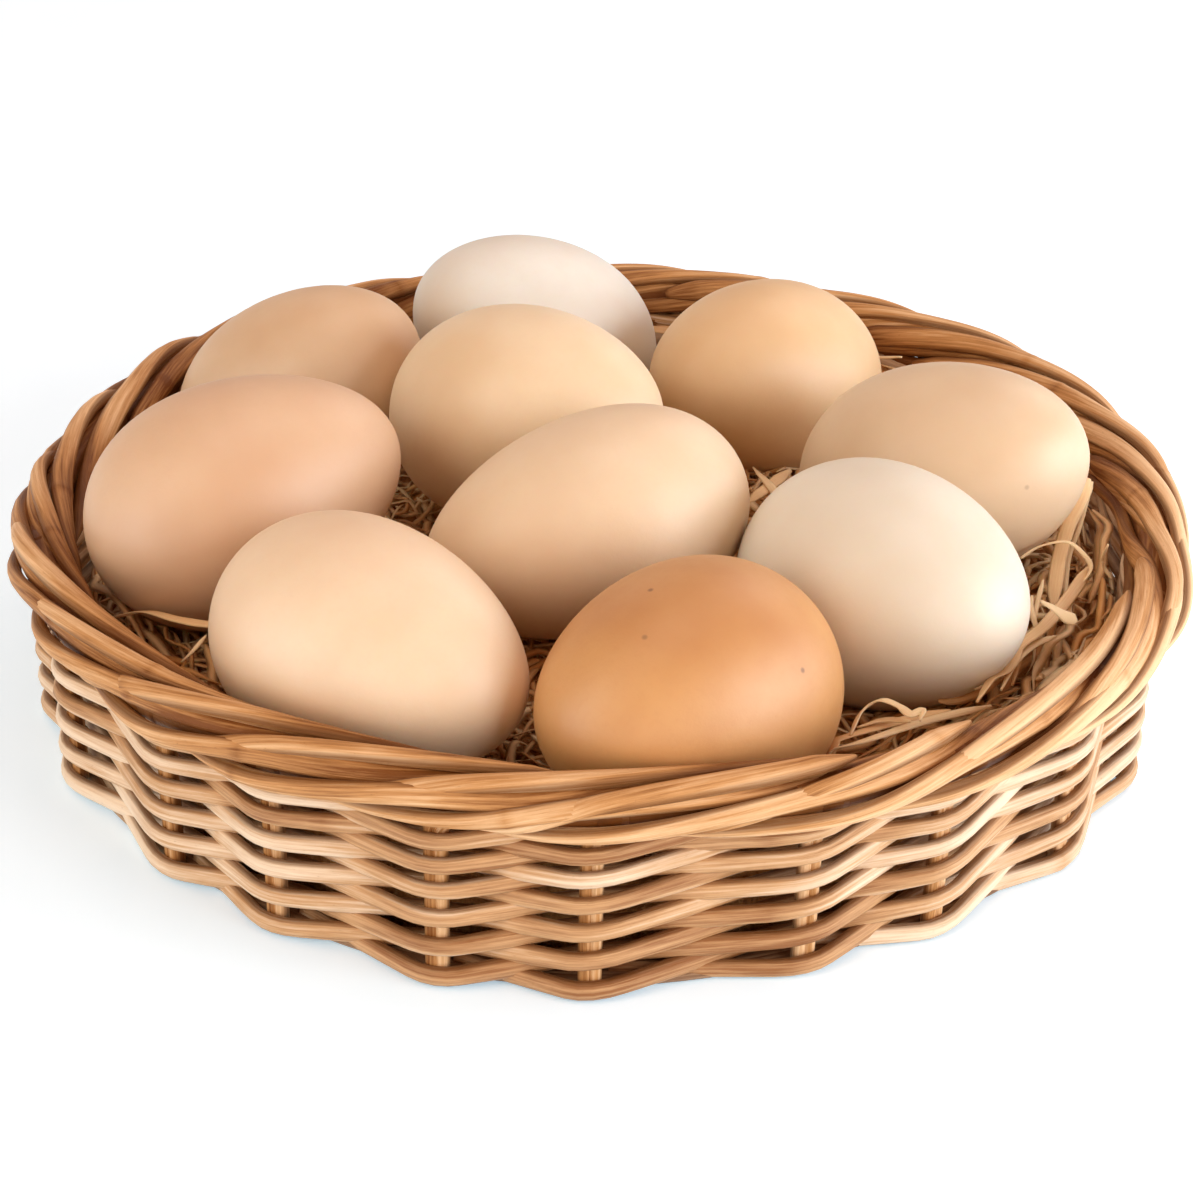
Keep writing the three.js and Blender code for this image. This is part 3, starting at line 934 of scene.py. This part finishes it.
def under_eggs(points, height):
    """Height lowered so that it stays just under every egg above it."""
    for egg in EGGS.values():
        for _ in range(CORE_LOWERINGS):
            test = np.column_stack([points, height])
            inside = egg.depth(test, CORE_EGG_GAP) < 1
            if not inside.any():
                break
            height = np.where(inside, height - CORE_LOWERING, height)
    return height


def lumps_at(x, y, lumps, seed):
    size, depth = lumps
    return depth * noise.noise(Vector((x / size, y / size, seed)))


def bed_core():
    """The closed body of the bed: a rough top out to the wall, a skirt below and a flat bottom."""
    shares = np.sqrt(np.linspace(0, 1, CORE_RINGS + 1)[1:])
    places = np.arange(CORE_SEGMENTS) * STAKE_COUNT / CORE_SEGMENTS
    angles = [angle_at(place) for place in places]
    edge = [wall_radius(place) - BED_WALL_GAP for place in places]
    flat = np.array([np.zeros(2)] + [around(share * r, a, 0)[:2]
                                     for share in shares for r, a in zip(edge, angles)])
    height = np.array([bed_height(x, y) - CORE_DROP + lumps_at(x, y, CORE_LUMPS, 0)
                       + lumps_at(x, y, CORE_GRAINS, 3) for x, y in flat])
    height = np.maximum(under_eggs(flat, height), BASE_THICKNESS + 0.2)
    points = np.column_stack([flat, height])
    skirt = np.array([around(r, a, SKIRT_HEIGHT) for r, a in zip(edge, angles)])
    bottom = np.array([around(r * SKIRT_INNER_SHARE, a, BASE_THICKNESS)
                       for r, a in zip(edge, angles)])
    points = np.vstack([points, skirt, bottom, [[0, 0, BASE_THICKNESS]]])

    # The rings run from the middle of the top out to the rim, down the skirt and in below.
    faces = turned_over(ring_faces(1, CORE_RINGS + 2, CORE_SEGMENTS))
    last = len(points) - 1 - CORE_SEGMENTS
    for j in range(CORE_SEGMENTS):
        k = (j + 1) % CORE_SEGMENTS
        faces.append((0, 1 + j, 1 + k))
        faces.append((len(points) - 1, last + k, last + j))
    mesh = new_mesh("wood_wool_core", points, faces)
    write_attribute(mesh, "grain", "FLOAT_VECTOR", "vector", points)
    place(mesh, "wood_wool_core", LITTER, SLOTS["wood_wool_bed"], ("wood_wool_bed",))


def clear_of_eggs(points, gap):
    """Pushes the points of a strand out of the eggs, away from each egg's middle."""
    for _ in range(3):
        for egg in EGGS.values():
            depth = egg.depth(points, gap)
            inside = depth < 1
            if inside.any():
                arms = points[inside] - egg.centre
                points[inside] = egg.centre + arms / depth[inside][:, None]
    return points


def keep_in_tray(points, limit):
    radius = np.linalg.norm(points[:, :2], axis=1)
    over = radius > limit
    points[over, :2] *= (limit / radius[over])[:, None]
    return points


def strand(skin, keys, width, thick, tint, twist, seed, steps=3, sides=4):
    """A thin flat ribbon along the keys, twisted, tapered at its ends and clear of the eggs."""
    centres = smooth_curve(keys, steps)
    centres = clear_of_eggs(centres, thick + STRAND_EGG_GAP)
    centres = keep_in_tray(centres, BED_RADIUS - STRAND_WALL_GAP)
    forward = unit(np.gradient(centres, axis=0))
    across = unit(np.cross(forward, [0.0, 0.0, 1.0]) + 1e-6)
    other = np.cross(forward, across)
    order = np.arange(len(centres))
    turn = twist * np.linspace(-1, 1, len(centres)) + 0.5 * wobbles(seed, order * 0.9 / steps)
    across = across * np.cos(turn)[:, None] + other * np.sin(turn)[:, None]
    from_end = np.minimum(order, order[::-1]) / steps
    taper = np.minimum(1, 0.35 + 1.6 * from_end)
    skin.loft(centres, across, width * taper, thick, sides=sides, tint=tint, start=seed * 13.0)


def in_an_egg(point):
    return any(egg.depth(point[None], STRAND_START_GAP)[0] < 1 for egg in EGGS.values())


def carpet(skin, dice, count):
    """Short curled strands that lie all over the bed."""
    made = 0
    while made < count:
        radius = BED_RADIUS * math.sqrt(dice.uniform(0.02, 1.0))
        angle = dice.uniform(0, 2 * math.pi)
        start = around(radius, angle, 0)
        start[2] = bed_height(start[0], start[1]) - dice.uniform(0.5, 3.0)
        if in_an_egg(start):
            continue
        heading = dice.uniform(0, 2 * math.pi)
        if radius > TURNED_BEYOND:
            heading = angle + dice.choice([0, math.pi]) + dice.uniform(-0.7, 0.7)
        curl = dice.uniform(-0.6, 0.6)
        step = dice.uniform(3.5, 6.5)
        keys = [start]
        for _ in range(dice.randint(4, 7)):
            point = keys[-1] + step * np.array([math.cos(heading), math.sin(heading), 0])
            point[2] = bed_height(point[0], point[1]) - 1.2 + dice.uniform(-1.6, 2.2)
            keys.append(point)
            heading += curl + dice.uniform(-0.4, 0.4)
        made += 1
        strand(skin, keys, dice.uniform(*CARPET_WIDTHS), dice.uniform(*STRAND_THICKNESS),
               dice.uniform(*CARPET_TINTS), dice.uniform(-CARPET_TWIST, CARPET_TWIST), made)


def wall_curls(skin, dice, count):
    """Strands that climb and run along the inside of the wall."""
    made = 0
    while made < count:
        angle = dice.uniform(0, 2 * math.pi)
        radius = dice.uniform(85, 96)
        start = around(radius, angle, 0)
        start[2] = bed_height(start[0], start[1]) + dice.uniform(-1.5, 1.0)
        if in_an_egg(start):
            continue
        way = dice.choice([-1, 1])
        climb = dice.uniform(0.2, 1.9)
        keys = [start]
        for _ in range(dice.randint(4, 8)):
            angle += way * dice.uniform(0.035, 0.07)
            radius = radius + dice.uniform(-2.4, 2.6)
            radius = min(WALL_STRAND_RADII[1], max(WALL_STRAND_RADII[0], radius))
            point = around(radius, angle, 0)
            point[2] = keys[-1][2] + climb + dice.uniform(-1.3, 1.1)
            point[2] = min(point[2], bed_height(point[0], point[1]) + WALL_STRAND_RISE)
            keys.append(point)
            climb -= 0.35
        made += 1
        strand(skin, keys, dice.uniform(*WALL_WIDTHS), dice.uniform(*STRAND_THICKNESS),
               dice.uniform(*WALL_TINTS), dice.uniform(-WALL_TWIST, WALL_TWIST),
               WALL_STRAND_GRAIN + made)


def curls():
    """The strands that stand out one by one at the wall and between the eggs."""
    skin = Skin()
    for number, (width, tint, twist, keys) in enumerate(CURLS):
        points = [around(radius, math.radians(turn), height) for turn, radius, height in keys]
        strand(skin, points, width, CURL_THICKNESS, tint, twist, CURL_GRAIN + number,
               steps=7, sides=8)
    skin.make("wood_wool_curls", STRAW, SLOTS["wood_wool_bed"])


def loose_strands():
    dice = random.Random(STRAND_SEED)
    skin = Skin()
    carpet(skin, dice, CARPET_STRANDS)
    wall_curls(skin, dice, WALL_STRANDS)
    skin.make("wood_wool_strands", STRAW, SLOTS["wood_wool_bed"])


# ---- base ----------------------------------------------------------------


def woven_base():
    """Rings woven over and under the base sticks, and three that fill in to the wall's foot."""
    skin = Skin()
    angles = np.linspace(0, 2 * math.pi, BASE_SAMPLES + 1)
    across = np.tile([0.0, 0.0, 1.0], (BASE_SAMPLES + 1, 1))
    for ring in range(BASE_RINGS):
        radius = BASE_FIRST_RADIUS + ring * BASE_RING_GAP
        swing = 0.45 if radius > 14 else 0.2
        waves = np.cos(BASE_SPOKES / 2 * angles + math.pi * (ring % 2))
        heights = BASE_RING_HEIGHT + swing * waves
        centres = np.array([around(radius, a, h) for a, h in zip(angles, heights)])
        skin.loft(centres, across, *BASE_ROD, sides=8, tint=0.4 + 0.3 * wobble(ring, 0.5),
                  start=ring * RING_GRAIN_SHIFT)
    places = np.linspace(0, STAKE_COUNT, BASE_SAMPLES + 1)
    for inset, height in FOOT_RINGS:
        centres = np.array([around(wall_radius(p) - inset, angle_at(p), height) for p in places])
        # The foot rings are dark (tint 0.1): painted shade at the foot of the wall.
        skin.loft(centres, across, *FOOT_ROD, sides=8, tint=0.1, start=inset * RING_GRAIN_SHIFT)
    skin.make("woven_base", BASE_WILLOW, SLOTS["base"], ("base",))


# ---- stage, light and camera ---------------------------------------------


FLOOR_RADIUS = 2200
FLOOR_DROP = 0.2
STAGE_SEGMENTS = 96
# The pale backdrop around the floor: distance from the middle and height.
BACKDROP_PROFILE = [
    (2200, 0), (2500, 50), (2750, 170), (2950, 380), (3080, 660), (3140, 1000), (3160, 1400),
]
# Paper of each: tones, and the colour and strength of its slight glow.
FLOOR_TONES = [(0.3, (0.87, 0.91, 0.94)), (0.7, (0.89, 0.93, 0.96))]
FLOOR_GLOW = (0.40, 0.76, 1.0, 1.0)
FLOOR_GLOW_STRENGTH = 0.42
BACKDROP_TONES = [(0.3, (0.60, 0.57, 0.54)), (0.7, (0.62, 0.59, 0.56))]
BACKDROP_GLOW = (0.88, 1.0, 0.97, 1.0)
BACKDROP_GLOW_STRENGTH = 0.32


def stage_piece(name, rings, tones, glow, strength):
    """A round sheet of plain paper: a disc, or a band through several rings."""
    turns = [2 * math.pi * i / STAGE_SEGMENTS for i in range(STAGE_SEGMENTS)]
    points = [(r * math.cos(a), r * math.sin(a), z - FLOOR_DROP) for r, z in rings for a in turns]
    faces = turned_over(ring_faces(0, len(rings), STAGE_SEGMENTS))
    if len(rings) == 1:
        faces.append(tuple(range(STAGE_SEGMENTS)))
    sheet = bpy.data.objects.new(name, new_mesh(name, points, faces))
    bpy.context.scene.collection.objects.link(sheet)
    shader = Shader(name)
    position = shader.node("ShaderNodeTexCoord").outputs["Object"]
    paper = shader.noise(position, 40.0, 3.0)
    shader.set(Base_Color=shader.ramp(paper, tones), Roughness=0.9)
    shader.surface.inputs["Emission Color"].default_value = glow
    shader.surface.inputs["Emission Strength"].default_value = strength
    sheet.data.materials.append(shader.material)


def make_stage():
    stage_piece("floor", [(FLOOR_RADIUS, 0)], FLOOR_TONES, FLOOR_GLOW, FLOOR_GLOW_STRENGTH)
    stage_piece("backdrop", BACKDROP_PROFILE, BACKDROP_TONES, BACKDROP_GLOW,
                BACKDROP_GLOW_STRENGTH)


def area_light(name, position, size, power, colour):
    data = bpy.data.lights.new(name, "AREA")
    data.shape = "DISK"
    data.size = size
    data.energy = power
    data.color = colour
    light = bpy.data.objects.new(name, data)
    bpy.context.scene.collection.objects.link(light)
    light.location = position
    way = Vector(LIGHT_AIM) - Vector(position)
    light.rotation_euler = way.to_track_quat("-Z", "Y").to_euler()


# Each row: name, place in metres, diameter in metres, power in watts, colour.
LIGHTS = [
    ("key_low_right", (0.88, -0.50, 0.33), 0.7, 8.4, (0.87, 0.91, 0.915)),
    ("key_side", (1.10, 0.10, 0.20), 0.7, 4.0, (0.91, 0.88, 0.945)),
    ("fill_front", (0.0, -1.05, 0.22), 0.6, 1.7, (1.0, 0.60, 0.38)),
    ("fill_left", (-0.70, -0.60, 0.70), 0.6, 3.0, (1.0, 0.96, 0.80)),
    ("fill_low_left", (-1.0, -0.65, 0.18), 0.6, 3.4, (0.87, 0.93, 0.945)),
    ("top", (0.0, 0.0, 1.15), 0.6, 1.5, (0.9, 0.96, 0.99)),
    ("back_left", (-0.35, 0.80, 0.70), 0.6, 0.7, (1.0, 0.96, 0.94)),
    ("back_right", (0.55, 0.70, 0.70), 0.6, 2.4, (1.0, 0.96, 0.90)),
]
LIGHT_AIM = (0.0, 0.0, 0.03)
WARM_BOUNCE = (1.0, 0.5, 0.27, 1.0)
WARM_BOUNCE_STRENGTH = 0.43


def make_light():
    world = bpy.data.worlds.new("studio")
    bpy.context.scene.world = world
    world.use_nodes = True
    background = world.node_tree.nodes["Background"]
    background.inputs["Color"].default_value = WARM_BOUNCE
    background.inputs["Strength"].default_value = WARM_BOUNCE_STRENGTH
    for name, position, size, power, colour in LIGHTS:
        area_light(name, position, size, power, colour)


def make_camera():
    elevation = math.radians(CAMERA_ELEVATION)
    distance = CAMERA_DISTANCE * MM
    target = Vector(CAMERA_TARGET) * MM
    back = Vector((0, -math.cos(elevation), math.sin(elevation)))
    up = Vector((0, math.sin(elevation), math.cos(elevation)))
    turn = Matrix((Vector((1, 0, 0)), up, back)).transposed().to_4x4()
    data = bpy.data.cameras.new("camera")
    data.sensor_width = CAMERA_SENSOR
    data.lens = CAMERA_LENS
    camera = bpy.data.objects.new("camera", data)
    bpy.context.scene.collection.objects.link(camera)
    roll = Matrix.Rotation(math.radians(CAMERA_ROLL), 4, "Z")
    camera.matrix_world = Matrix.Translation(target + back * distance) @ turn @ roll
    bpy.context.scene.camera = camera


# ---- putting it together -------------------------------------------------

make_camera()
make_light()
make_stage()
for number, node in enumerate(WEAVERS):
    weaver_rod(number, node)
for number, node in enumerate(STAKES):
    stake_pair(number, node)
make_eggs()
bed_core()
loose_strands()
curls()
woven_base()
bpy.context.scene.view_settings.view_transform = "Standard"
